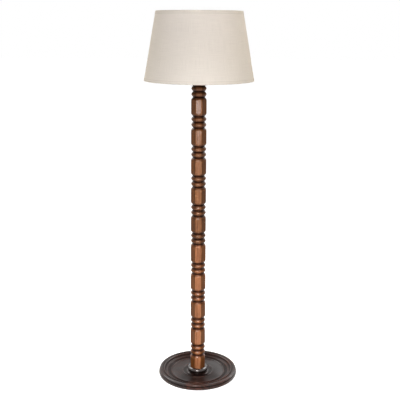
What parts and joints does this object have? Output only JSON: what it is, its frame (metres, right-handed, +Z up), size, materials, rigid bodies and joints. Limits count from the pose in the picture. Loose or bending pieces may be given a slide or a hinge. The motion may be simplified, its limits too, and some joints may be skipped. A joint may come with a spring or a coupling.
{
  "type": "floor lamp",
  "caption": "Candlestick floor lamp: an octagonal block and ring turned wooden column on a dished round base, with a tapered linen drum shade on a ring carrier.",
  "frame": {"origin": "centre of the base, on the floor", "axes": "+Z up the column, -Y to the front as pictured, with a flat of every octagonal block facing it; the cable leaves at +Y"},
  "size_m": [0.4567, 0.4568, 1.5977],
  "materials": {
    "base_wood": "dark stain, glossy polish",
    "column_wood": "brown stain, satin polish",
    "iron": "as cast, blackened",
    "steel": "zinc plated",
    "baize": "felted",
    "black_plastic": "moulded, glossy",
    "brass": "lacquered",
    "porcelain": "glazed",
    "white_wire": "white powder coat",
    "shade_lining": "matt",
    "linen": "plain weave",
    "linen_tape": "plain weave, folded",
    "pearl_glass": "pearl",
    "clear_glass": "clear",
    "bulb_metal": "plain"
  },
  "bodies": {
    "stand": {"base_disc": "base_wood", "ballast_plate": "iron", "ballast_screws": "steel", "base_baize": "baize", "cable_bush": "black_plastic", "column_lower": "column_wood", "column_upper": "column_wood", "tie_tube": "steel", "base_washer": "steel", "base_nut": "steel", "top_plate": "brass", "top_locknut": "brass", "holder_dome": "brass", "holder_body": "brass", "holder_core": "porcelain", "holder_terminals": "brass", "plunger_springs": "steel"},
    "switch": {"switch_bar": "black_plastic"},
    "plungers": {"contact_plungers": "brass"},
    "bulb": {"bulb_glass": "pearl_glass", "bulb_cap": "bulb_metal", "bulb_pins": "bulb_metal", "bulb_contacts": "bulb_metal", "bulb_filament": "clear_glass"},
    "ring_nut": {"holder_ring_nut": "brass"},
    "carrier": {"carrier_collar": "brass", "carrier_arms": "brass", "carrier_gallery": "brass"},
    "shade": {"shade_fitting_ring": "white_wire", "shade_arms": "white_wire", "shade_top_wire": "white_wire", "shade_bottom_wire": "white_wire", "shade_lining": "shade_lining", "shade_cover": "linen", "shade_top_tape": "linen_tape", "shade_bottom_tape": "linen_tape"}
  },
  "joints": [
    {"name": "switch_slide", "type": "slide", "parent": "stand", "child": "switch", "axis": [1, 0, 0], "range_m": [0, 0.006]},
    {"name": "bulb_push", "type": "slide", "parent": "stand", "child": "bulb", "axis": [0, 0, 1], "range_m": [-0.0025, 0], "stiffness_N_per_m": 1200, "springref_m": 0.004},
    {"name": "plunger_slide", "type": "slide", "parent": "stand", "child": "plungers", "axis": [0, 0, 1], "range_m": [-0.0026, 0.0001], "stiffness_N_per_m": 200, "springref_m": 0.004, "deforming": ["plunger_springs"]},
    {"name": "ring_nut_turn", "type": "hinge", "parent": "stand", "child": "ring_nut", "pos_m": [0, 0, 1.35], "axis": [0, 0, 1], "continuous": true},
    {"name": "carrier_turn", "type": "hinge", "parent": "stand", "child": "carrier", "pos_m": [0, 0, 1.346], "axis": [0, 0, 1], "continuous": true},
    {"name": "shade_lift", "type": "slide", "parent": "carrier", "child": "shade", "axis": [0, 0, 1], "range_m": [0, 0.25]}
  ],
  "couplings": [
    {"joint": "plunger_slide", "follows": "bulb_push", "ratio": 1}
  ]
}
